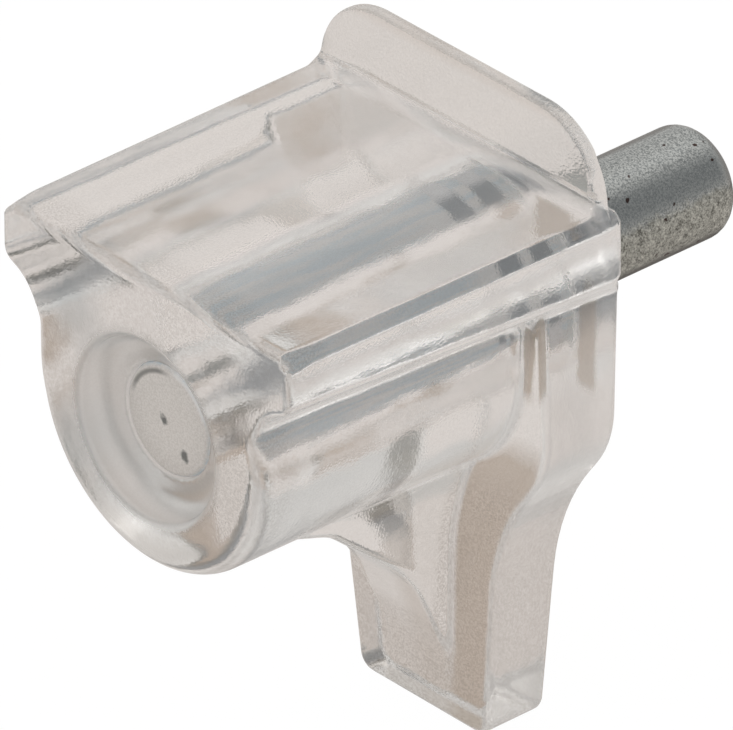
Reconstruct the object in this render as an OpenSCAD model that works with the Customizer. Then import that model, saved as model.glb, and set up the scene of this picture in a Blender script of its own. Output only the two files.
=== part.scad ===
// Clear shelf support with a moulded-in steel pin.
// The origin is on the pin axis, in the plane of the wall. X runs along the wall,
// Y runs along the pin into the wall, and Z is up. The support is the same left and right.

/* [Shelf plate] */
// Width of the shelf plate at its free end
plate_front_width = 17.4; // [16.8:0.1:17.8]
// How much wider the shelf plate is at the wall
plate_widening = 0.4; // [0.1:0.1:1]
// Reach of the support in front of the wall
reach = 18.35; // [17.5:0.05:19.5]
// Height of the shelf face above the pin axis
shelf_height = 7.1; // [6.9:0.05:7.4]
// Thickness of the plate's edge at its free end
plate_front_thickness = 2.65; // [2.4:0.05:2.9]
// How much thicker the plate's edge is at the wall
plate_thickening = 0.85; // [0.5:0.05:1.1]
// Rounding of the plate's edges
plate_edge_radius = 0.5; // [0.3:0.05:0.6]
// Slope of the plate's underside, in degrees
underside_slope = 24; // [18:1:28]

/* [Pin barrel] */
// Radius of the barrel at its free end
barrel_front_radius = 6.8; // [6.5:0.05:6.9]
// Radius of the barrel at the wall block
barrel_block_radius = 6.9; // [6.6:0.05:7.0]
// Height of the barrel's centre above the pin axis
barrel_rise = 0.4; // [0.2:0.05:0.6]
// Rounding of the barrel's front rim
rim_radius = 1.0; // [0.7:0.05:1.3]
// Lean of the neck's sides towards each other, in degrees
neck_lean = 4; // [2:0.5:6]
// Fillet between the neck and the plate
neck_fillet = 1; // [0.7:0.05:1.2]
// Fillet between the barrel and the wall block
barrel_fillet = 0.5; // [0.25:0.05:0.6]
// Radius of the round recess in the front face
recess_radius = 4.0; // [3.6:0.05:4.4]
// Depth of the recess
recess_depth = 1.2; // [0.8:0.05:1.5]

/* [Wall block and leg] */
// Width of the block at its shoulders
shoulder_width = 16.2; // [15.6:0.1:16.6]
// Drop of the shoulders below the pin axis
shoulder_drop = 4.35; // [4:0.05:4.6]
// Rounding of the shoulders
shoulder_radius = 5; // [3.5:0.1:5.5]
// Width of the leg where it leaves the shoulders
leg_top_width = 9.8; // [9.4:0.1:10.2]
// Drop of the leg's top below the pin axis
leg_top_drop = 8.7; // [8.4:0.1:9.2]
// Hollow curve between the shoulders and the leg
leg_curve_radius = 11.8; // [8:0.2:12.4]
// Width of the leg's foot
foot_width = 7.7; // [7.0:0.1:8.4]
// Drop of the foot below the pin axis
foot_drop = 19.1; // [18:0.1:20]
// Rounding of the foot's corners
foot_radius = 0.8; // [0.6:0.05:1.2]
// Thickness of the block at the level of the pin
block_thickness = 4.15; // [3.9:0.05:4.5]
// Thickness of the leg at the foot
foot_thickness = 3.35; // [3.1:0.05:3.7]
// Rounding of the block's and the leg's edges
block_edge_radius = 0.4; // [0.25:0.05:0.55]

/* [Gusset under the barrel] */
// Width of the gusset at its lower tip
gusset_tip_width = 3.7; // [3.3:0.1:4.1]
// Width of the gusset where it starts to spread
gusset_mid_width = 4.4; // [4.2:0.1:4.9]
// Width of the gusset at the block, where it meets the barrel
gusset_root_width = 7.2; // [6.4:0.1:8]
// Width of the gusset's crest where it meets the barrel
gusset_crest_width = 5.4; // [4.9:0.1:6]
// Rounding of the gusset's crest
gusset_edge_radius = 0.4; // [0.25:0.05:0.5]
// Reach of the crest in front of the wall where it leaves the barrel
gusset_brow_reach = 10.5; // [10:0.1:11]
// Drop of the crest there below the pin axis
gusset_brow_drop = 7.15; // [6.9:0.05:7.4]
// Reach of the crest in front of the wall where it bends down
gusset_bend_reach = 5.8; // [5.4:0.1:6.4]
// Drop of that bend below the pin axis
gusset_bend_drop = 11.15; // [10.7:0.05:11.6]
// Rounding of the crest where it leaves the barrel
gusset_brow_radius = 3; // [2:0.25:4]
// Rounding of the crest's bend
gusset_bend_radius = 6; // [4:0.5:7]
// Rounding of the crest where it runs into the leg
gusset_tip_radius = 4; // [2:0.5:5]
// Drop of the gusset's tip below the pin axis
gusset_tip_drop = 16.6; // [16.2:0.1:17]
// Drop of the point where the gusset starts to spread
gusset_spread_drop = 11.1; // [10.6:0.1:11.6]

/* [Stop lip] */
// Width of the lip
lip_width = 16.9; // [16.2:0.1:17]
// Height of the lip above the shelf face
lip_height = 3.65; // [3.3:0.05:3.9]
// Thickness of the lip
lip_thickness = 0.7; // [0.6:0.05:0.9]
// Radius of the lip's two upper corners
lip_corner_radius = 3.65; // [3:0.05:3.8]
// Ledge between the wall and the lip's back face
lip_setback = 0.76; // [0.6:0.02:0.9]
// Rounding of the lip's edges
lip_edge_radius = 0.26; // [0.2:0.02:0.28]
// Fillet at the foot of the lip
lip_fillet = 0.7; // [0.5:0.05:0.9]

/* [Steel pin] */
// Diameter of the pin
pin_diameter = 5; // [4.8:0.05:5.2]
// Length of the pin behind the wall plane
pin_length_in_wall = 12.15; // [11:0.1:14]
// Rounding of the pin's free end
pin_end_radius = 1.0; // [0.6:0.05:1.4]
// Chamfer on the pin's moulded-in end
pin_front_chamfer = 0.25; // [0.1:0.05:0.4]
// Width of each locking groove
groove_width = 1.25; // [1:0.05:1.4]
// Depth of each locking groove
groove_depth = 0.3; // [0.2:0.05:0.4]
// Distance between the two locking grooves
groove_spacing = 1.7; // [1.6:0.05:1.9]
// Distance of the nearer locking groove's middle from the wall
groove_setback = 1.05; // [0.95:0.05:1.2]
// Length of pin behind the wall plane that the nearer groove's slope runs out on
groove_runout = 0.15; // [0.1:0.05:0.3]
// Clearance between the pin and its bore, on the radius
pin_clearance = 0.02; // [0.01:0.01:0.05]

/* [Hidden] */
$fn = 96;

// How far neighbouring faces run into each other where they join, and how far a whole form
// reaches into its neighbour
overlap = 0.05;
root_depth = 0.8;
// Height at which the front rounding starts to grow, and the height it takes to grow
rim_top = 3;
rim_blend = 4;

plate_wall_width = plate_front_width + plate_widening;
plate_wall_thickness = plate_front_thickness + plate_thickening;
pin_radius = pin_diameter / 2;
bore_radius = pin_radius + pin_clearance;
recess_floor_y = recess_depth - reach;
lip_front = lip_setback + lip_thickness;

// Slopes of the sizes that change evenly along the support
plate_flare = plate_widening / 2 / reach;
plate_deepening = plate_thickening / reach;
barrel_taper = (barrel_block_radius - barrel_front_radius) / (reach - block_thickness);
leg_taper = (block_thickness - foot_thickness) / foot_drop;

// How far a rounded edge of radius r has drawn in at distance u from the face it rounds into
function edge_draw(u, r) = u >= r ? 0 : r - sqrt(r * r - (r - u) * (r - u));

// Points of an arc round [x, z] from angle a to angle b, each with its outward normal;
// a negative radius is a hollow arc, whose normals point to its centre
function arc(x, z, r, a, b, steps) = [
    for (i = [0:steps])
        let (t = a + (b - a) * i / steps)
            [x + abs(r) * cos(t), z + abs(r) * sin(t), sign(r) * cos(t), sign(r) * sin(t)]
];

// Points of the arc that rounds corner c on the clockwise way from point a to point b
function corner(a, c, b, r, steps) =
    let (
        back = (a - c) / norm(a - c),
        on = (b - c) / norm(b - c),
        half = acos(back * on) / 2,
        middle = c + (back + on) / norm(back + on) * r / sin(half),
        first = c + back * r / tan(half) - middle,
        side = sign(back[0] * on[1] - back[1] * on[0]),
        start = atan2(first[1], first[0])
    )
    arc(middle[0], middle[1], side * r, start, start - side * (180 - 2 * half), steps);

// A half outline from the top middle clockwise to the bottom middle, with its mirror image
function both_sides(half) = concat(
    half,
    [for (i = [len(half) - 1:-1:0]) [-half[i][0], half[i][1], -half[i][2], half[i][3]]]
);

// A closed solid through rings of points that all have the same number of points
module skin(rings) {
    count = len(rings[0]);
    last = (len(rings) - 1) * count;
    sides = [
        for (j = [0:len(rings) - 2], i = [0:count - 1])
            let (a = j * count + i, b = j * count + (i + 1) % count)
                each [[a, a + count, b + count], [a, b + count, b]]
    ];
    ends = [
        [for (i = [0:count - 1]) i],
        [for (i = [count - 1:-1:0]) last + i]
    ];
    polyhedron(points = [for (r = rings) each r], faces = concat(sides, ends));
}

// Half section of the plate, the neck and the barrel, given the plate's half width, its top,
// the height of its lower edge, and the barrel's radius
function head_half(half_width, top, edge_z, radius) =
    let (
        slope = tan(underside_slope),
        lean = tan(neck_lean),
        touch = [radius * cos(neck_lean), barrel_rise + radius * sin(neck_lean)],
        neck_z = (edge_z + slope * (touch[0] + lean * touch[1] - half_width)) / (1 + slope * lean),
        neck = [half_width - (edge_z - neck_z) / slope, neck_z],
        upper = [half_width, top],
        lower = [half_width, edge_z]
    )
    concat(
        corner([0, top], upper, lower, plate_edge_radius, 4),
        corner(upper, lower, neck, plate_edge_radius, 4),
        corner(lower, neck, touch, neck_fillet, 6),
        arc(0, barrel_rise, radius, neck_lean, -88, 16)
    );

// Section of the head at distance u behind the front face, drawn in by draw all round;
// spread is the growth of its fillet against the wall block
function head_outline(u, draw, spread) =
    let (
        half_width = plate_front_width / 2 + plate_flare * u - draw,
        edge_z = shelf_height - plate_front_thickness - plate_deepening * u + draw - spread,
        radius = barrel_front_radius + barrel_taper * u - draw + spread
    )
    both_sides(head_half(half_width, shelf_height - draw, edge_z, radius));

// Rounding of the front edge at height z: the plate's edge radius grows to the barrel's rim radius
function front_rounding(z) =
    let (share = min(1, max(0, (rim_top - z) / rim_blend)))
    plate_edge_radius - overlap / 2 + (rim_radius - plate_edge_radius) * share;

// Shelf plate, neck and pin barrel as one smooth form
module head() {
    to_block = reach - block_thickness + overlap;
    face = head_outline(0, 0, 0);
    skin(concat(
        [
            for (a = [90:-15:0])
                [
                    for (p = face)
                        let (r = front_rounding(p[1]), in = r * (1 - cos(a)))
                            [p[0] - in * p[2], r * (1 - sin(a)) - reach, p[1] - in * p[3]]
                ]
        ],
        [
            for (a = [0:22.5:90])
                let (gap = barrel_fillet * (1 - sin(a)), u = to_block - gap)
                    [
                        for (p = head_outline(u, 0, edge_draw(gap, barrel_fillet)))
                            [p[0], u - reach - leg_taper * p[1], p[1]]
                    ]
        ],
        [
            for (a = [0:30:90])
                let (gap = block_edge_radius * (1 - sin(a)))
                    [
                        for (p = head_outline(reach - gap, edge_draw(gap, block_edge_radius), 0))
                            [p[0], -gap, p[1]]
                    ]
        ]
    ));
}

// Half outline of the wall block and the leg, seen along the pin
function block_half() =
    let (
        rim = plate_wall_width / 2 - 2 * overlap,
        top = [rim, shelf_height - plate_wall_thickness / 3],
        below = [rim, shelf_height - plate_wall_thickness / 3 * 2],
        waist = [shoulder_width / 2 + 4 * overlap, shelf_height - plate_wall_thickness - 4 * overlap],
        shoulder = [shoulder_width / 2, -shoulder_drop],
        leg_top = [leg_top_width / 2, -leg_top_drop],
        foot = [foot_width / 2, -foot_drop]
    )
    concat(
        corner([0, top[1]], top, below, block_edge_radius, 2),
        corner(top, below, waist, 1, 2),
        corner(below, waist, shoulder, 1.5, 3),
        corner(waist, shoulder, leg_top, shoulder_radius, 8),
        corner(shoulder, leg_top, foot, leg_curve_radius, 10),
        corner(leg_top, foot, [0, -foot_drop], foot_radius, 5)
    );

// Ring of a plate-like form drawn in by its edge rounding r at angle a; the face leans by lean
function edge_ring(outline, face_y, lean, r, a, into) = [
    for (p = outline)
        let (z = p[1] - p[3] * r * (1 - cos(a)))
            [p[0] - p[2] * r * (1 - cos(a)), face_y - lean * z + into * r * (1 - sin(a)), z]
];

// Wall block with its shoulders, and the leg that hangs from it
module wall_block() {
    outline = both_sides(block_half());
    r = block_edge_radius;
    skin(concat(
        [for (a = [90:-22.5:0]) edge_ring(outline, -block_thickness, leg_taper, r, a, 1)],
        [for (a = [0:22.5:90]) edge_ring(outline, 0, 0, r, a, -1)]
    ));
}

// Heights of the gusset's tip, of the start of its spread and of its meeting with the barrel
tip_z = -gusset_tip_drop;
spread_z = -gusset_spread_drop;
meet_z = barrel_rise - barrel_front_radius + root_depth / 2;

// Half width of the gusset at height z, where it grows to the given width at the barrel
function gusset_half(z, top_width) =
    let (
        rise = (gusset_mid_width - gusset_tip_width) / (spread_z - tip_z) / 2,
        grow = (top_width - gusset_mid_width) / 2 - rise * (meet_z - spread_z),
        up = max(0, z - spread_z) / (meet_z - spread_z)
    )
    gusset_mid_width / 2 + rise * (z - spread_z) + grow * up * up;

// Crest of the gusset in the plane of symmetry, from inside the barrel down to inside the leg
function crest() =
    let (
        brow = [-gusset_brow_reach, -gusset_brow_drop],
        bend = [-gusset_bend_reach, -gusset_bend_drop],
        tip = [-foot_thickness - root_depth / 3, tip_z + root_depth],
        top = [brow[0] - gusset_brow_radius, brow[1] + root_depth],
        below = [-foot_thickness + 2 * overlap, tip_z - 2 * root_depth]
    )
    concat(
        [[top[0], top[1] + root_depth], top],
        corner(top, brow, bend, gusset_brow_radius, 4),
        corner(brow, bend, tip, gusset_bend_radius, 5),
        corner(bend, tip, below, gusset_tip_radius, 4),
        [below]
    );

// Ring of the gusset across its crest point p
function gusset_ring(p) =
    let (
        r = gusset_edge_radius,
        root = gusset_half(p[1], gusset_root_width),
        half = gusset_half(p[1], gusset_crest_width),
        root_y = root_depth - foot_thickness
    )
    [
        for (q = concat(
            [[root, root_y], [-root, root_y]],
            arc(r - half, p[0] + r, r, 180, 270, 4),
            arc(half - r, p[0] + r, r, 270, 360, 4)
        ))
            [q[0], q[1], p[1]]
    ];

// Gusset that carries the barrel on the leg
module gusset() {
    points = crest();
    skin([for (i = [len(points) - 1:-1:0]) gusset_ring(points[i])]);
}

// Stop lip with its round upper corners and the fillet at its foot
module lip() {
    r = lip_corner_radius;
    half = concat(
        arc(lip_width / 2 - r, shelf_height + lip_height - r, r, 90, 0, 10),
        [[lip_width / 2, shelf_height - root_depth, 1, 0]]
    );
    outline = both_sides(half);
    skin(concat(
        [for (a = [90:-30:0]) edge_ring(outline, -lip_front, 0, lip_edge_radius, a, 1)],
        [for (a = [0:30:90]) edge_ring(outline, -lip_setback, 0, lip_edge_radius, a, -1)]
    ));
    foot_half = lip_width / 2 - 2 * lip_edge_radius;
    translate([-foot_half, 0, 0])
    rotate([90, 0, 90])
    linear_extrude(height = 2 * foot_half)
    difference() {
        translate([-lip_front - lip_fillet, shelf_height - root_depth])
        square([lip_fillet + lip_thickness / 2, lip_fillet + root_depth]);
        translate([-lip_front - lip_fillet, shelf_height + lip_fillet])
        circle(r = lip_fillet + overlap / 2);
    }
}

// Bore that the pin sits in, and the round recess in the front face
module openings() {
    rotate([90, 0, 0])
    translate([0, 0, -1])
    cylinder(r = bore_radius, h = reach + 2);
    translate([0, recess_floor_y, 0])
    rotate([90, 0, 0])
    cylinder(r = recess_radius, h = recess_depth + 1);
}

// Clear body, moulded in one piece
module body() {
    color([0.86, 0.84, 0.83, 0.45])
    difference() {
        // The joined forms are one moulding, drawn to its full width
        resize([plate_wall_width, 0, 0])
        union() {
            head();
            wall_block();
            gusset();
            lip();
        }
        openings();
    }
}

// Half profile of the pin, radius against distance along the pin
module pin_profile() {
    back = pin_length_in_wall;
    difference() {
        union() {
            translate([0, recess_floor_y])
            square([pin_radius - pin_front_chamfer, back - recess_floor_y - pin_end_radius]);
            translate([0, recess_floor_y + pin_front_chamfer])
            square([pin_radius, back - recess_floor_y - pin_front_chamfer - pin_end_radius]);
            translate([0, back - 2 * pin_end_radius])
            square([pin_radius - pin_end_radius, 2 * pin_end_radius]);
            translate([pin_radius - pin_end_radius, back - pin_end_radius])
            circle(r = pin_end_radius);
            polygon([
                [0, recess_floor_y],
                [pin_radius - pin_front_chamfer, recess_floor_y],
                [pin_radius, recess_floor_y + pin_front_chamfer],
                [0, recess_floor_y + pin_radius]
            ]);
        }
        for (i = [0:1])
            translate([pin_radius - groove_depth, -groove_setback - i * groove_spacing - groove_width / 2])
            square([2 * groove_depth, groove_width]);
        polygon([
            [pin_radius - groove_depth, groove_width / 2 - groove_setback],
            [pin_radius, groove_runout],
            [pin_radius + groove_depth, groove_width / 2 - groove_setback]
        ]);
        translate([-2 * pin_radius, 2 * recess_floor_y])
        square([2 * pin_radius, 4 * reach]);
    }
}

// Steel pin with two locking grooves inside the wall block
module pin() {
    color("gray")
    rotate([-90, 0, 0])
    rotate_extrude()
    pin_profile();
}

body();
pin();
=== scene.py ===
"""A clear shelf support with a moulded-in steel pin, dressed for its final look.

Sizes are in millimetres, and are turned to metres when a mesh is made or a socket is set. X runs
along the wall, Y runs along the pin into the wall, and Z is up. The origin is on the pin's axis,
in the wall face.
"""

import math

import bpy
import numpy as np
from mathutils import Matrix


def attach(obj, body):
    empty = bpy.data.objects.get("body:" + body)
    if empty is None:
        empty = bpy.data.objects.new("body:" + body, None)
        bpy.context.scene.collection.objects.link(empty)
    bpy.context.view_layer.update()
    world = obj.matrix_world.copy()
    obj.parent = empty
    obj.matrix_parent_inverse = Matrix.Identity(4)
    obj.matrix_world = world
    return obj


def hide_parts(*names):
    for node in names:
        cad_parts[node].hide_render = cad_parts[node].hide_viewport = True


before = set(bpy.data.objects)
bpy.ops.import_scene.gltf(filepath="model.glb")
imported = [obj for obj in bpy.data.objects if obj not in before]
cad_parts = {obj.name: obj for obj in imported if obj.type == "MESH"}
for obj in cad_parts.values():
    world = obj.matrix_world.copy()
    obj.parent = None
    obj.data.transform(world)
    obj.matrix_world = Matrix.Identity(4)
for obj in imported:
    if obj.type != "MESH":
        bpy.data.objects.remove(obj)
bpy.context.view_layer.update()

MM = 0.001

# Shelf plate
REACH, TOP = 18.35, 7.1
PLATE_FRONT_HALF, PLATE_WALL_HALF = 8.7, 8.9
PLATE_FRONT_THICKNESS, PLATE_WALL_THICKNESS = 2.65, 3.5
PLATE_EDGE, PLATE_CORNER, WALL_CORNER = 0.5, 0.35, 0.8
PLATE_BEVEL, BEVEL_EDGE = 0.5, 0.1
FRONT_BEVEL, FRONT_BEVEL_START, FRONT_BEVEL_END = 0.3, 0.2, 1.6
UNDERSIDE = math.radians(24)

# Barrel, and the neck that joins it to the plate
BARREL_FRONT, BARREL_BACK, BARREL_RISE, BARREL_COVER = 6.8, 6.9, 0.4, 1.5
RIM, RIM_TOP, RIM_BLEND = 1.0, 3, 4
LEAN = math.radians(4)
NECK_FILLET, NECK_CORNER, BARREL_FILLET = 1.3, 1.2, 0.5
RECESS_RADIUS, RECESS_DEPTH, RECESS_EDGE, RECESS_FILLET = 4.0, 1.2, 0.3, 0.9

# Wall block and leg
BLOCK_THICKNESS, FOOT_THICKNESS, FOOT_DROP, BLOCK_EDGE = 4.15, 3.35, 19.1, 0.4

# Gusset: heights of its tip, of the start of its spread and of its meeting with the barrel
GUSSET_TIP, GUSSET_SPREAD, GUSSET_MEET = -0.87 * FOOT_DROP, -0.58 * FOOT_DROP, -6.06
GUSSET_HALF, GUSSET_GROWTH, ROOT_SPREAD, CREST_SPREAD = 2.2, 0.35, 1.4, 0.5
GUSSET_ROOT, GUSSET_ROOF, GUSSET_FLOOR = -2.6, -5.2, -17.8
GUSSET_EDGE, GUSSET_FILLET = 0.4, 0.35

# Stop lip
LIP_HALF, LIP_TOP, LIP_FOOT, LIP_CORNER = 8.45, 10.75, 6.0, 3.65
LIP_FRONT, LIP_BACK, LIP_EDGE = -1.46, -0.76, 0.27
LIP_FILLET, LIP_FILLET_LOSS = 0.7, 0.5

# Pin and its bore
PIN_RADIUS, PIN_BACK, PIN_END = 2.5, 12.15, 1.0
PIN_FRONT = RECESS_DEPTH - REACH
PIN_TURNS, PIN_SHARP = 128, math.radians(40)
BORE_RADIUS, BORE_EDGE = 2.52, 0.12
GROOVES = (-1.05, -2.75)
GROOVE_WIDTH, GROOVE_DEPTH, GROOVE_RUNOUT = 1.25, 0.3, 0.15

# Grid over the body, shifted a little so that no line lies in a flat face
GRID_STEP, QUICK_STEP, GRID_SHIFT = 0.16, 0.2, 0.013
GRID_SPANS = ((-9.3, 9.3), (-18.8, 0.4), (-19.5, 11.1))


# ---------------------------------------------------------------- forms as distances

def blend_in(value, start, end):
    """Smooth step: 0 below start, 1 above end, with a level tangent at both."""
    t = np.clip((value - start) / (end - start), 0, 1)
    return t * t * (3 - 2 * t)


def round_or(a, b, r):
    """Union with a fillet of radius r: the smaller distance, at least r, less the length of what
    both distances lack of r."""
    lack = np.hypot(np.maximum(r - a, 0), np.maximum(r - b, 0))
    return np.maximum(r, np.minimum(a, b)) - lack


def round_and(a, b, r):
    """Common part with an edge rounding of radius r: the larger distance, at most -r, plus the
    length of what both distances pass -r by."""
    past = np.hypot(np.maximum(r + a, 0), np.maximum(r + b, 0))
    return np.minimum(-r, np.maximum(a, b)) + past


def bevel_and(a, b, c, r):
    """Common part with a flat bevel of size c: the half-space that cuts both distances at -c,
    joined with edge rounding r."""
    flat = (a + b + c) / math.sqrt(2)
    return round_and(round_and(a, flat, r), b, r)


def rounded(corners, step=4.0):
    """Closed outline through (a, b, radius) corners: each becomes the arc that touches both its
    sides, in steps of step degrees."""
    points = []
    count = len(corners)
    for i, (a, b, r) in enumerate(corners):
        here = np.array((a, b))
        back = np.array(corners[i - 1][:2]) - here
        on = np.array(corners[(i + 1) % count][:2]) - here
        back, on = back / np.hypot(*back), on / np.hypot(*on)
        half = math.acos(float(np.clip(back @ on, -1, 1))) / 2
        if r == 0:
            points.append(here)
            continue
        middle = here + (back + on) / np.hypot(*(back + on)) * r / math.sin(half)
        first = here + back * r / math.tan(half) - middle
        start = math.atan2(first[1], first[0])
        turn = math.pi - 2 * half
        side = math.copysign(1, back[0] * on[1] - back[1] * on[0])
        steps = max(2, int(math.degrees(turn) / step) + 1)
        for t in np.linspace(start, start - side * turn, steps + 1):
            points.append(middle + r * np.array((math.cos(t), math.sin(t))))
    return np.array(points)


def outline_distance(points, a, b):
    """Distance from (a, b) to a closed outline: to the nearest side, and negative where a ray
    crosses the sides an odd number of times."""
    a, b = np.broadcast_arrays(a, b)
    near = np.full(a.shape, 1e9)
    inside = np.zeros(a.shape, bool)
    for (pa, pb), (qa, qb) in zip(points, np.roll(points, -1, 0)):
        da, db = qa - pa, qb - pb
        t = np.clip(((a - pa) * da + (b - pb) * db) / (da * da + db * db), 0, 1)
        near = np.minimum(near, (a - pa - t * da) ** 2 + (b - pb - t * db) ** 2)
        if db != 0:
            inside ^= ((b >= pb) != (b >= qb)) & (a < pa + (b - pb) * da / db)
    return np.where(inside, -1, 1) * np.sqrt(near)


def mirrored(half):
    """Closed outline from the corners of its right half, top to bottom, and their mirror images."""
    return half + [(-a, b, r) for a, b, r in reversed(half)]


# Outlines of block and lip as (across, up, radius), and of the gusset as (along the pin, up, radius)
BLOCK_OUTLINE = rounded(mirrored([
    (8.2, 5.8, 0.3), (8.25, 3.4, 1.5), (8.1, -4.35, 5.0), (4.9, -8.7, 11.8), (3.85, -FOOT_DROP, 0.8),
]))
LIP_OUTLINE = rounded(mirrored([(LIP_HALF, LIP_TOP, LIP_CORNER), (LIP_HALF, LIP_FOOT, 0.3)]))
CREST = [
    (-13.1, -6.2, 0), (-10.5, -7.15, 3.0), (-5.8, -11.15, 6.0), (-3.6, -15.95, 4.0), (-3.2, GUSSET_FLOOR, 0),
]
GUSSET_OUTLINE = rounded(
    [(GUSSET_ROOT, GUSSET_ROOF, 0), (CREST[0][0], GUSSET_ROOF, 0)] + CREST + [(GUSSET_ROOT, GUSSET_FLOOR, 0)]
)


def plate_distance(u, wide, half, z):
    """Shelf plate at u behind its front, where it is half wide: bevelled sides and top, over an
    underside that slopes down to the middle."""
    edge = TOP - PLATE_FRONT_THICKNESS - (PLATE_WALL_THICKNESS - PLATE_FRONT_THICKNESS) * u / REACH
    under = (edge - math.tan(UNDERSIDE) * (half - wide) - z) * math.cos(UNDERSIDE)
    behind = blend_in(u, FRONT_BEVEL_START, FRONT_BEVEL_END)
    bevel = PLATE_BEVEL * (1 + FRONT_BEVEL - FRONT_BEVEL * behind)
    return round_and(bevel_and(wide - half, z - TOP, bevel, BEVEL_EDGE), under, PLATE_EDGE)


def barrel_distance(u, wide, z):
    """Barrel at u behind its front: a circle that grows towards the wall, and above its widest
    points the two leaning lines that touch it, up to a cover inside the plate."""
    radius = BARREL_FRONT + (BARREL_BACK - BARREL_FRONT) * u / (REACH - BLOCK_THICKNESS)
    up = z - BARREL_RISE
    along = up * math.cos(LEAN) - wide * math.sin(LEAN)
    off = wide * math.cos(LEAN) + up * math.sin(LEAN)
    return np.maximum(np.where(along < 0, np.hypot(wide, up), off) - radius, z - TOP + BARREL_COVER)


def head_distance(x, y, z):
    """Shelf plate, neck and barrel: plate and barrel joined with a fillet, and cut off at the
    front. The front rounding is small on the plate, grows down to the barrel's rim, and is
    sharper on the plate's side corners."""
    u, wide = y + REACH, np.abs(x)
    half = PLATE_FRONT_HALF + (PLATE_WALL_HALF - PLATE_FRONT_HALF) * u / REACH
    section = round_or(plate_distance(u, wide, half, z), barrel_distance(u, wide, z), NECK_FILLET)
    rim = np.clip((RIM_TOP - z) / RIM_BLEND, 0, 1)
    side = blend_in((TOP - z) - (half - wide), -0.5, 0.5) * blend_in(z, 2.2, 3.4)
    front = PLATE_EDGE + (RIM - PLATE_EDGE) * rim + (PLATE_CORNER - PLATE_EDGE) * side
    return round_and(section, -u, front)


def block_distance(x, y, z):
    """Wall block and leg: their outline, cut off at the front by a face that leans."""
    lean = (BLOCK_THICKNESS - FOOT_THICKNESS) / FOOT_DROP
    face = (-BLOCK_THICKNESS - lean * z - y) / math.hypot(1, lean)
    return round_and(outline_distance(BLOCK_OUTLINE, x, z), face, BLOCK_EDGE)


def gusset_distance(x, y, z):
    """Gusset: its side outline, between sides that spread towards the wall and, with the square
    of the height, towards the barrel."""
    rise = GUSSET_GROWTH / (GUSSET_SPREAD - GUSSET_TIP)
    up = np.maximum(0, z - GUSSET_SPREAD) / (GUSSET_MEET - GUSSET_SPREAD)
    even = GUSSET_HALF + rise * (z - GUSSET_SPREAD)
    root = even + (ROOT_SPREAD - rise * (GUSSET_MEET - GUSSET_SPREAD)) * up * up
    crest = even + (CREST_SPREAD - rise * (GUSSET_MEET - GUSSET_SPREAD)) * up * up
    crest_y = np.interp(-z, [-p[1] for p in CREST], [p[0] for p in CREST])
    share = np.clip((y - GUSSET_ROOT) / (crest_y - GUSSET_ROOT), 0, 1.2)
    sides = np.abs(x) - (root + (crest - root) * share)
    return round_and(outline_distance(GUSSET_OUTLINE, y, z), sides, GUSSET_EDGE)


def lip_distance(x, y, z):
    """Stop lip: its outline, between two upright faces with rounded edges."""
    middle, half = (LIP_FRONT + LIP_BACK) / 2, (LIP_BACK - LIP_FRONT) / 2
    return round_and(outline_distance(LIP_OUTLINE, x, z), np.abs(y - middle) - half, LIP_EDGE)


def body_distance(x, y, z):
    """The whole moulding: its forms joined with fillets, cut off at the wall, less the recess and
    the bore. The fillet is larger at the neck, and the wall edge is rounder at the plate's
    corners."""
    wide = np.abs(x)
    neck = blend_in(z, -1.0, 3.0) * (1 - blend_in(wide, 7.6, 8.1))
    corner = BARREL_FILLET + (NECK_CORNER - BARREL_FILLET) * neck
    form = round_or(head_distance(x, y, z), block_distance(x, y, z), corner)
    form = round_or(form, gusset_distance(x, y, z), GUSSET_FILLET)
    fillet = LIP_FILLET - LIP_FILLET_LOSS * blend_in(y, -1.3, -0.9)
    form = round_or(form, lip_distance(x, y, z), fillet)
    edge = BLOCK_EDGE + WALL_CORNER * blend_in(z, 3.0, 3.8) * blend_in(wide, 7.0, 7.8)
    form = round_and(form, y, edge)
    across = np.hypot(x, z)
    recess = round_and(across - RECESS_RADIUS, y - PIN_FRONT, RECESS_FILLET)
    form = round_and(form, -recess, RECESS_EDGE)
    return round_and(form, BORE_RADIUS - across, BORE_EDGE)


# ---------------------------------------------------------------- meshes

def slope(distance, points, step=0.01):
    """Gradient of a distance at points, from its differences over step each way."""
    x, y, z = points.T
    return np.stack([
        distance(x + step, y, z) - distance(x - step, y, z),
        distance(x, y + step, z) - distance(x, y - step, z),
        distance(x, y, z + step) - distance(x, y, z - step),
    ], 1) / (2 * step)


def crossed_cells(inside):
    """Grid cells that have some of their eight corners inside, but not all."""
    shape = [n - 1 for n in inside.shape]
    filled = np.zeros(shape, np.int8)
    for i, j, k in np.ndindex(2, 2, 2):
        filled += inside[i:shape[0] + i, j:shape[1] + j, k:shape[2] + k]
    return np.argwhere((filled > 0) & (filled < 8))


def cell_points(values, lines, cells):
    """One point in each cell: the mean of the places where the surface crosses its twelve edges,
    each found from the values at the edge's ends."""
    total, count = np.zeros((len(cells), 3)), np.zeros(len(cells))
    for axis, p, q in np.ndindex(3, 2, 2):
        first = cells.copy()
        first[:, (axis + 1) % 3] += p
        first[:, (axis + 2) % 3] += q
        last = first.copy()
        last[:, axis] += 1
        a, b = values[tuple(first.T)], values[tuple(last.T)]
        crossed = (a < 0) != (b < 0)
        t = np.where(crossed, a / np.where(crossed, a - b, 1), 0)[:, None]
        start = np.stack([line[first[:, i]] for i, line in enumerate(lines)], 1)
        end = np.stack([line[last[:, i]] for i, line in enumerate(lines)], 1)
        total += (start + t * (end - start)) * crossed[:, None]
        count += crossed
    return total / count[:, None]


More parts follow.
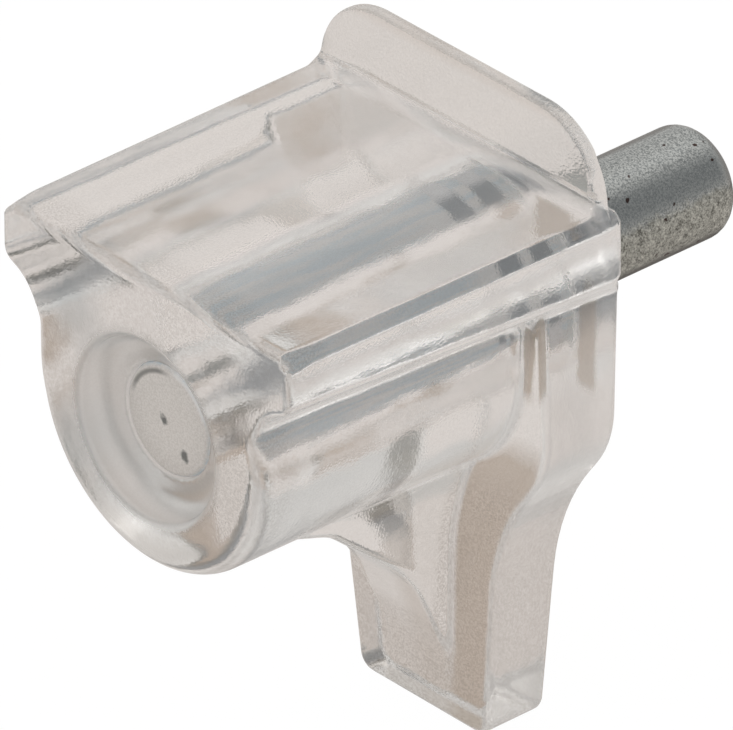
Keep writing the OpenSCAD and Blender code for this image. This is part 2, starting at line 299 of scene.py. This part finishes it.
def cell_faces(inside, number):
    """One quad across each grid edge that crosses the surface, through the points of the four
    cells round that edge, turned outwards."""
    faces = []
    for axis in range(3):
        b, c = (axis + 1) % 3, (axis + 2) % 3
        low, high = [slice(None)] * 3, [slice(None)] * 3
        low[axis], high[axis] = slice(0, -1), slice(1, None)
        edges = np.argwhere(inside[tuple(low)] != inside[tuple(high)])
        leaving = inside[tuple(low)][tuple(edges.T)]
        ring = []
        for p, q in ((1, 1), (0, 1), (0, 0), (1, 0)):
            cell = edges.copy()
            cell[:, b] -= p
            cell[:, c] -= q
            ring.append(number[tuple(cell.T)])
        ring = np.stack(ring, 1)
        faces.append(np.where(leaving[:, None], ring, ring[:, ::-1]))
    return np.concatenate(faces)


def skin(distance, lines, rounds=3, most=0.08):
    """Closed quad mesh of a distance's zero surface, and its normals: one point in each grid cell
    that it crosses, moved onto it down the gradient in a few rounds, by at most most each time."""
    xs, ys, zs = lines
    values = distance(xs[:, None, None], ys[None, :, None], zs[None, None, :])
    inside = values < 0
    cells = crossed_cells(inside)
    number = np.full([n - 1 for n in values.shape], -1)
    number[tuple(cells.T)] = np.arange(len(cells))
    points = cell_points(values, lines, cells)
    for _ in range(rounds):
        normal = slope(distance, points)
        steep = np.maximum((normal ** 2).sum(1), 0.25)[:, None]
        points -= np.clip(distance(*points.T)[:, None] * normal / steep, -most, most)
    normal = slope(distance, points)
    return points, cell_faces(inside, number), normal / np.linalg.norm(normal, axis=1)[:, None]


def grid_lines():
    """Evenly spaced grid lines along X, Y and Z, with a little room outside the body."""
    step = GRID_STEP
    return [np.linspace(a, b, int((b - a) / step) + 1) + GRID_SHIFT for a, b in GRID_SPANS]


def add_mesh(name, points, faces):
    """Smooth mesh object from points in millimetres."""
    mesh = bpy.data.meshes.new(name)
    mesh.from_pydata((points * MM).tolist(), [], faces)
    mesh.polygons.foreach_set("use_smooth", np.ones(len(mesh.polygons), bool))
    piece = bpy.data.objects.new(name, mesh)
    bpy.context.scene.collection.objects.link(piece)
    return piece


def make_body():
    """The clear moulding: the skin of its distance, shaded with the distance's own gradient."""
    points, faces, normals = skin(body_distance, grid_lines())
    piece = add_mesh("clear_body", points, faces.tolist())
    piece.data.normals_split_custom_set_from_vertices(normals.tolist())
    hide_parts("body")
    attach(piece, "root")
    return piece


def pin_profile():
    """Half outline of the pin as (radius, place along the pin), from the middle of its front to
    the middle of its rounded end. The groove next to the wall face runs out in a slope."""
    line = [(0.0, PIN_FRONT), (1.2, PIN_FRONT), (2.25, PIN_FRONT)]
    line += [(2.42, PIN_FRONT + 0.08), (PIN_RADIUS, PIN_FRONT + 0.25)]
    floor, half = PIN_RADIUS - GROOVE_DEPTH, GROOVE_WIDTH / 2
    line += [(PIN_RADIUS, y) for y in np.linspace(PIN_FRONT + 1, min(GROOVES) - half - 0.1, 12)]
    wall = [(PIN_RADIUS, -0.02), (PIN_RADIUS - 0.03, 0.03), (floor + 0.05, 0.12), (floor, 0.2)]
    for middle in sorted(GROOVES):
        far = wall[-1:] if middle == max(GROOVES) else wall[::-1]
        line += [(r, middle - half + y) for r, y in wall] + [(r, middle + half - y) for r, y in far]
    line += [(PIN_RADIUS, y) for y in np.linspace(GROOVE_RUNOUT, PIN_BACK - PIN_END, 12)]
    for t in np.linspace(0, math.pi / 2, 9)[1:]:
        out, on = PIN_END * math.cos(t), PIN_END * math.sin(t)
        line.append((PIN_RADIUS - PIN_END + out, PIN_BACK - PIN_END + on))
    return np.array(line + [(0.7, PIN_BACK), (0.0, PIN_BACK)])


def make_pin():
    """The steel pin: its profile turned about its axis, with quads between its rings and a fan of
    triangles to the middle of each end."""
    profile = pin_profile()
    ring = profile[1:-1]
    angle = np.linspace(0, 2 * math.pi, PIN_TURNS, endpoint=False)
    points = np.concatenate([
        [(0, profile[0, 1], 0)],
        np.stack([
            np.outer(ring[:, 0], np.cos(angle)),
            np.repeat(ring[:, 1:], PIN_TURNS, 1),
            np.outer(ring[:, 0], np.sin(angle)),
        ], 2).reshape(-1, 3),
        [(0, profile[-1, 1], 0)],
    ])
    here = 1 + np.arange(len(ring) * PIN_TURNS).reshape(-1, PIN_TURNS)
    on = np.roll(here, -1, 1)
    quads = np.stack([here[:-1], here[1:], on[1:], on[:-1]], 2).reshape(-1, 4)
    front = np.stack([np.zeros(PIN_TURNS, int), here[0], on[0]], 1)
    end = np.stack([here[-1], np.full(PIN_TURNS, len(points) - 1), on[-1]], 1)
    piece = add_mesh("steel_pin", points, front.tolist() + quads.tolist() + end.tolist())
    piece.data.set_sharp_from_angle(angle=PIN_SHARP)
    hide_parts("pin")
    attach(piece, "root")
    return piece


# ---------------------------------------------------------------- materials

class Wire:
    """A node's output that takes part in arithmetic: each operation adds its Math node."""

    def __init__(self, tree, socket):
        self.tree, self.socket = tree, socket

    def __add__(self, other):
        return self.tree.math("ADD", self, other)

    def __sub__(self, other):
        return self.tree.math("SUBTRACT", self, other)

    def __rsub__(self, other):
        return self.tree.math("SUBTRACT", other, self)

    def __mul__(self, other):
        return self.tree.math("MULTIPLY", self, other)

    def __abs__(self):
        return self.tree.math("ABSOLUTE", self)

    __radd__, __rmul__ = __add__, __mul__

    def clamp(self, start, end, low=0.0, high=1.0):
        """Linear map of start..end onto low..high, held at both ends."""
        values = dict(enumerate((self, start, end, low, high)))
        return self.tree.add("ShaderNodeMapRange", sockets=values)

    def fade(self, start, end, low=0.0, high=1.0):
        """The same map of a place or a length, with its start and end in millimetres."""
        return self.clamp(start * MM, end * MM, low, high)

    def mix(self, low, high):
        """Colour that goes from low to high as this factor goes from 0 to 1."""
        return self.tree.add("ShaderNodeMix", {"data_type": "RGBA"}, {0: self, 6: low, 7: high}, 2)


class Tree:
    """A node tree being built."""

    def __init__(self, owner):
        owner.use_nodes = True
        self.nodes, self.links = owner.node_tree.nodes, owner.node_tree.links
        self.nodes.clear()

    def add(self, kind, settings=None, sockets=None, output=0):
        """Adds a node: its settings first, then the values or links of its sockets, by name or
        number. Gives one of its outputs."""
        made = self.nodes.new(kind)
        for name, value in (settings or {}).items():
            setattr(made, name, value)
        for key, value in (sockets or {}).items():
            socket = made.inputs[key]
            if isinstance(value, Wire):
                self.links.new(value.socket, socket)
            elif socket.type == "RGBA":
                socket.default_value = (*value, 1.0)
            else:
                socket.default_value = value
        return Wire(self, made.outputs[output]) if made.outputs else None

    def math(self, operation, *values):
        """Result of one Math node on its values."""
        return self.add("ShaderNodeMath", {"operation": operation}, dict(enumerate(values)))

    def place(self):
        """Place on the piece, in metres."""
        return self.add("ShaderNodeTexCoord", output="Object")

    def split(self, vector):
        """The three parts of a vector."""
        parts = self.add("ShaderNodeSeparateXYZ", sockets={0: vector})
        return [Wire(self, socket) for socket in parts.socket.node.outputs]

    def noise(self, size, detail=2.0, roughness=0.5, stretch=None):
        """Noise whose features are about size millimetres, and longer where stretch is under 1."""
        where = self.place()
        if stretch:
            where = self.add("ShaderNodeMapping", sockets={"Vector": where, "Scale": stretch})
        sockets = {"Vector": where, "Scale": 1 / (size * MM), "Detail": detail, "Roughness": roughness}
        return self.add("ShaderNodeTexNoise", sockets=sockets, output="Fac")

    def bump(self, height, depth, strength):
        """Normal that follows a height, where 1 stands for depth millimetres."""
        sockets = {"Strength": strength, "Distance": depth * MM, "Height": height}
        return self.add("ShaderNodeBump", sockets=sockets)

    def ray(self, kind):
        """Factor that is 1 for one kind of ray."""
        return self.add("ShaderNodeLightPath", output=f"Is {kind} Ray")

    def blend(self, factor, first, second):
        """Shader that goes from first to second as the factor goes from 0 to 1."""
        return self.add("ShaderNodeMixShader", sockets={0: factor, 1: first, 2: second})

    def finish(self, shader, kind="Material"):
        """Links the shader to the tree's output."""
        self.add(f"ShaderNodeOutput{kind}", sockets={"Surface": shader})


def material(name):
    """A new material and its tree."""
    made = bpy.data.materials.new(name)
    return made, Tree(made)


def away_from(x, z, right=0.0, up=0.0):
    """Distance from the line along the pin at (right, up) millimetres: the root of the sum of the
    squares of both offsets."""
    off_x, off_z = x - right * MM, z - up * MM
    return x.tree.math("SQRT", off_x * off_x + off_z * off_z)


WHITE = (1.0, 1.0, 1.0)

# Plastic: its clouded specks, its clear ground, and what tints it
CLOUDED, CLEAR = (0.88, 0.865, 0.845), (1.0, 0.99, 0.975)
# Grit, painted shade for the recess, and darker bluish patches on the front
GRIT, RECESS_SHADE, DARK_PATCH = (0.50, 0.465, 0.43), (0.60, 0.595, 0.58), (0.50, 0.53, 0.535)
LEG_TINT, LIP_TINT, LIP_TOP_TINT = (0.86, 0.80, 0.75), (0.80, 0.79, 0.77), (0.80, 0.75, 0.70)
# Painted shade on the lower front rim and on the plate's left edge
LOWER_RIM_SHADE, LEFT_EDGE_SHADE = (0.66, 0.62, 0.58), (0.74, 0.72, 0.69)
# Browns on the face that meets the wall
WALL_BROWN, WALL_BROWN_PATCH = ((0.34, 0.27, 0.205), (0.46, 0.37, 0.29)), (0.62, 0.52, 0.43)

# Darker bluish patches on the front face: right, up and radius in millimetres, and strength
FRONT_DARK_PATCHES = ((-4.4, 3.9, 2.3, 0.9), (-4.4, -2.4, 2.6, 0.8))

# Zinc outside the moulding and steel in it, most of them from dark to pale
UPPER_ZINC = ((0.24, 0.255, 0.255), (0.60, 0.615, 0.60))
LOWER_ZINC = ((0.10, 0.10, 0.085), (0.80, 0.80, 0.74))
# Painted shade along the pin's outline, and pits
OUTLINE_SHADE, PIT = (0.07, 0.065, 0.055), (0.07, 0.045, 0.04)
# Steel in the moulding, paled and blued as painted reflection
HELD_STEEL_SHEEN = ((0.79, 0.89, 0.96), WHITE)
GROOVE_LIT, GROOVE_SHADED = (0.95, 0.97, 1.0), (0.46, 0.50, 0.54)
CUT_STEEL = ((0.78, 0.75, 0.715), (0.90, 0.87, 0.84))
CUT_LINE, CUT_MARK = (0.16, 0.165, 0.16), (0.10, 0.11, 0.11)

# Marks on the pin's front end: right and up in millimetres
END_MARKS = ((-0.2, 0.0), (1.05, -1.15))


def clear_plastic():
    """Clear, faintly warm plastic: slow moulding waves and fine grain, frost and painted shade in the
    recess, grit and darker bluish patches on the front, painted shade on the lower front rim and on
    the plate's left edge, and brown patches on the face that meets the wall."""
    made, tree = material("clear_plastic")
    x, y, z = tree.split(tree.place())
    across = away_from(x, z)
    waves = tree.noise(2.6, 2.0, 0.4)
    grain = tree.noise(0.12, 2.0)
    drag = tree.noise(0.3, 2.0, stretch=(1.0, 0.1, 1.0))
    speckle = tree.noise(0.08, 1.0).clamp(0.35, 0.65)
    grit = tree.noise(0.10, 2.0, 0.7).clamp(0.54, 0.46)

    front = y.fade(-16.8, -17.6)
    gritty = y.fade(-16.0, -17.0) * 0.5 + z.fade(-5.0, -7.0) * y.fade(-4.8, -4.4) * 0.7
    leg = z.fade(-6.0, -9.0) * x.fade(2.5, 3.5)
    # painted shade: the recess and the bore's front edge are darker in colour; the added roughness there is
    # frost
    shaded_frosted_recess = across.fade(4.7, 4.2) * y.fade(-16.3, -16.8)
    # painted shade on the lower part of the front rim
    rim = front * z.fade(-3.0, -4.5) * across.fade(4.4, 5.2)
    bore = across.fade(2.8, 2.6) * y.fade(-16.8, -16.3)
    # painted shade along the plate's upper left edge
    left_edge_shade = x.fade(-8.0, -8.3) * z.fade(6.4, 6.7)
    wall = y.fade(-0.3, -0.1)
    below = z.fade(-4.5, -6.0) * (x.fade(-2.2, -1.2, 0.1, 0.6) + x.fade(-0.2, 0.6, 0.0, 0.4))
    # brown on the face that meets the wall, over the leg and below the barrel
    brown_below = below + z.fade(-13.8, -15.5) * x.fade(-1.2, -2.2) * 0.3
    # brown patch on the wall face right of the pin, also rougher and partly metallic
    brown_patch = wall * x.fade(2.9, 3.3) * x.fade(5.6, 5.0) * abs(z).fade(2.9, 2.2)

    layers = [(grit * gritty, GRIT), (leg * 0.2, LEG_TINT)]
    layers += [(z.fade(7.3, 7.8) * 0.3, LIP_TINT), (shaded_frosted_recess * 0.85, RECESS_SHADE)]
    # darker bluish patches on the front face
    for right, up, size, amount in FRONT_DARK_PATCHES:
        near = away_from(x, z, right, up).fade(size, size * 0.3)
        layers.append((near * front * amount, DARK_PATCH))
    layers += [(rim * 0.9, LOWER_RIM_SHADE), (bore, WHITE), (left_edge_shade * 0.8, LEFT_EDGE_SHADE)]
    layers += [(z.fade(10.1, 10.4) * 0.7, LIP_TOP_TINT), (wall * brown_below, speckle.mix(*WALL_BROWN)), (brown_patch, WALL_BROWN_PATCH)]
    tint = speckle.mix(CLOUDED, CLEAR)
    for factor, colour in layers:
        tint = factor.mix(tint, colour)

    tree.finish(tree.add("ShaderNodeBsdfPrincipled", sockets={
        "Base Color": tint,
        "Roughness": grain.clamp(0.35, 0.7, 0.03, 0.07) + wall * 0.12 + shaded_frosted_recess * 0.3 + brown_patch * 0.2,
        "Metallic": brown_patch * 0.5,
        "IOR": 1.5,
        "Transmission Weight": 1.0,
        "Normal": tree.bump(waves + grain * 0.09 + drag * bore * 0.35, 0.09, 1.0),
    }))
    return made


def outer_zinc(tree, place, rough, fine, crust):
    """Colour of the zinc outside the moulding, and where its outline is shaded: smooth above and
    crusted below, with painted shade in bands along both sides and at the far end, and pits."""
    x, y, z = place
    smooth = z.fade(2.2, 1.9) * z.fade(0.8, 1.1)
    calm = fine * (1 - smooth * 0.7) + smooth * 0.28
    zinc = rough.mix(calm.mix(*UPPER_ZINC), (fine * 0.5 + crust * 0.5).mix(*LOWER_ZINC))
    # painted shade: dark bands where the pin's outline is seen, at its upper left, lower right and far end,
    # with less metal there
    left = x.fade(-0.6, -1.0) * x.fade(-2.2, -1.8) * z.fade(0.0, 0.6)
    right = z.fade(-1.1, -1.5) * x.fade(0.0, 0.6)
    outline_shade = (left + right + y.fade(11.4, 11.9)).clamp(0.0, 1.0)
    zinc = (outline_shade * 0.85).mix(zinc, OUTLINE_SHADE)
    return tree.noise(0.38, 1.0).clamp(0.725, 0.755).mix(zinc, PIT), outline_shade


def cut_end(x, z, across, cloud, fine):
    """Colour of the pin's front end: finely mottled, with a dark arc at its upper left, two dark
    marks, and a painted highlight at its upper right."""
    cut = fine.mix(*CUT_STEEL)
    arc = across.fade(2.00, 2.12) * across.fade(2.32, 2.20) * x.fade(0.2, -0.5) * z.fade(0.4, 1.1)
    cut = (arc * 0.75).mix(cut, CUT_LINE)
    for right, up in END_MARKS:
        away = away_from(x, z, right, up) + (cloud - 0.5) * (0.8 * MM)
        cut = (away.fade(0.30, 0.12) * 0.85).mix(cut, CUT_MARK)
    # painted highlight at the upper right of the end's rim
    rim_highlight = across.fade(2.22, 2.32) * x.fade(0.1, 0.6) * z.fade(0.6, 1.1)
    return rim_highlight.mix(cut, WHITE)


def zinc_steel():
    """Steel pin: bright, bluish and streaked where it is moulded in, its brightness a painted
    reflection; outside it zinc that is rough and pitted below, with painted shade along its outline."""
    made, tree = material("zinc_steel")
    x, y, z = tree.split(tree.place())
    across = away_from(x, z)
    cloud = tree.noise(0.45, 3.0, 0.6)
    grain = tree.noise(0.085, 2.0, 0.7)
    fine = grain.clamp(0.4, 0.6)
    crust = tree.noise(0.26, 4.0, 0.75).clamp(0.35, 0.65)
    drag = tree.noise(0.35, 3.0, stretch=(1.0, 0.06, 1.0)).clamp(0.44, 0.56)

    outside = y.fade(-0.3, 0.3)
    rough = (z + (cloud - 0.5) * (1.2 * MM)).fade(1.0, 0.6)
    zinc, outline_shade = outer_zinc(tree, (x, y, z), rough, fine, crust)

    groove = across.fade(2.4, 2.3) * y.fade(-4.0, -3.7) * y.fade(-0.4, -0.5)
    shaded = z.fade(0.2, 0.7) * x.fade(0.4, 0.9)
    # painted reflection: the moulded-in steel is pale and bluish, not metallic, with streaks along it
    held = (drag * 0.8 + fine * 0.2).mix(*HELD_STEEL_SHEEN)
    held = groove.mix(held, shaded.mix(GROOVE_LIT, GROOVE_SHADED))
    held = y.fade(-17.00, -17.12).mix(held, cut_end(x, z, across, cloud, fine))

    tree.finish(tree.add("ShaderNodeBsdfPrincipled", sockets={
        "Base Color": outside.mix(held, zinc),
        "Roughness": (rough * 0.25 + fine * 0.12 + 0.24) * outside + (1 - outside) * 0.5,
        "Metallic": outside * (0.85 - outline_shade * 0.65),
        "Normal": tree.bump(grain + cloud * 0.6 + crust * rough * 1.2, 0.018, 0.5),
    }))
    return made


# ---------------------------------------------------------------- stage

BACKDROP = (0.73, 0.69, 0.665)
HORIZON, ZENITH, DIM_CORNER = (0.61, 0.605, 0.595), (0.79, 0.78, 0.765), (0.28, 0.29, 0.30)
FLOOR_SIDE, FLOOR_LEVEL = 3.0, -0.0192

# The camera's own axes, its distance, and the offset of what it looks at
CAMERA_RIGHT = np.array((0.6691, 0.7431, 0.0))
CAMERA_UP = np.array((-0.3809, 0.3429, 0.8587))
CAMERA_BACK = np.array((0.6381, -0.5746, 0.5125))
CAMERA_DISTANCE, CAMERA_OFFSET, CAMERA_LENS = 700, (-4.728, -3.655), 845.1


def add_turned(name, data, place, right, up, back):
    """Adds a camera or lamp at a place in metres, with its own axes along right, up and back."""
    made = bpy.data.objects.new(name, data)
    turn = Matrix([(right[i], up[i], back[i]) for i in range(3)])
    made.matrix_world = Matrix.Translation(place) @ turn.to_4x4()
    bpy.context.scene.collection.objects.link(made)
    return made


def make_camera():
    """Camera from the right, the front and above, far off, with no shift."""
    data = bpy.data.cameras.new("camera")
    data.sensor_width, data.lens = 36, CAMERA_LENS
    data.clip_start, data.clip_end = 0.01, 20
    offset = CAMERA_OFFSET[0] * CAMERA_RIGHT + CAMERA_OFFSET[1] * CAMERA_UP
    place = (offset + CAMERA_DISTANCE * CAMERA_BACK) * MM
    camera = add_turned("camera", data, place, CAMERA_RIGHT, CAMERA_UP, CAMERA_BACK)
    bpy.context.scene.camera = camera


def make_lamp(name, place, size, watts):
    """Soft square lamp that faces the support, with two of its sides level."""
    data = bpy.data.lights.new(name, "AREA")
    data.shape, data.size, data.energy = "SQUARE", size, watts
    back = np.array(place) / np.linalg.norm(place)
    right = np.cross((0, 0, 1), back)
    right = right / np.linalg.norm(right)
    add_turned(name, data, place, right, np.cross(back, right), back)


def make_floor():
    """Pale floor below the support: white to the camera but for the support's shadow, pale in
    metal and plastic, and clear from below."""
    mesh = bpy.data.meshes.new("floor")
    corners = [(a * FLOOR_SIDE, b * FLOOR_SIDE, FLOOR_LEVEL) for a, b in ((-1, -1), (1, -1), (1, 1), (-1, 1))]
    mesh.from_pydata(corners, [], [(0, 1, 2, 3)])
    floor = bpy.data.objects.new("floor", mesh)
    bpy.context.scene.collection.objects.link(floor)
    made, tree = material("pale_floor")
    seen, shown = tree.ray("Camera"), tree.ray("Glossy") + tree.ray("Transmission")
    glow = {"Color": seen.mix(BACKDROP, WHITE), "Strength": seen.clamp(0.0, 1.0, 1.0, 1.02)}
    shaded = tree.add("ShaderNodeBsdfDiffuse", sockets={"Color": BACKDROP})
    pale = tree.blend(seen * 0.97 + shown * 0.6, shaded, tree.add("ShaderNodeEmission", sockets=glow))
    below = tree.add("ShaderNodeNewGeometry", output="Backfacing")
    tree.finish(tree.blend(below, pale, tree.add("ShaderNodeBsdfTransparent")))
    mesh.materials.append(made)


def make_world():
    """Pale room that is white to the camera, with a dim corner to the right and behind."""
    world = bpy.data.worlds.new("studio")
    bpy.context.scene.world = world
    tree = Tree(world)
    x, y, z = tree.split(tree.add("ShaderNodeTexCoord", output="Generated"))
    corner = (x * 0.615 + y * 0.575 + z * 0.54).clamp(0.80, 0.96)
    room = corner.mix(z.clamp(0.0, 0.7).mix(HORIZON, ZENITH), DIM_CORNER)
    lights = [tree.add("ShaderNodeBackground", sockets={"Color": colour}) for colour in (room, WHITE)]
    tree.finish(tree.blend(tree.ray("Camera"), *lights), "World")


body = make_body()
pin = make_pin()
body.data.materials.append(clear_plastic())
pin.data.materials.append(zinc_steel())
make_camera()
make_floor()
make_world()
make_lamp("key", (-0.09, 0.29, 0.4), 0.12, 0.016)
make_lamp("glint", (-0.18, -0.32, 0.34), 0.08, 0.06)

bpy.context.scene.view_settings.view_transform = "Standard"
bpy.context.scene.cycles.max_bounces = 32
bpy.context.scene.cycles.transmission_bounces = 32
bpy.context.scene.cycles.glossy_bounces = 16
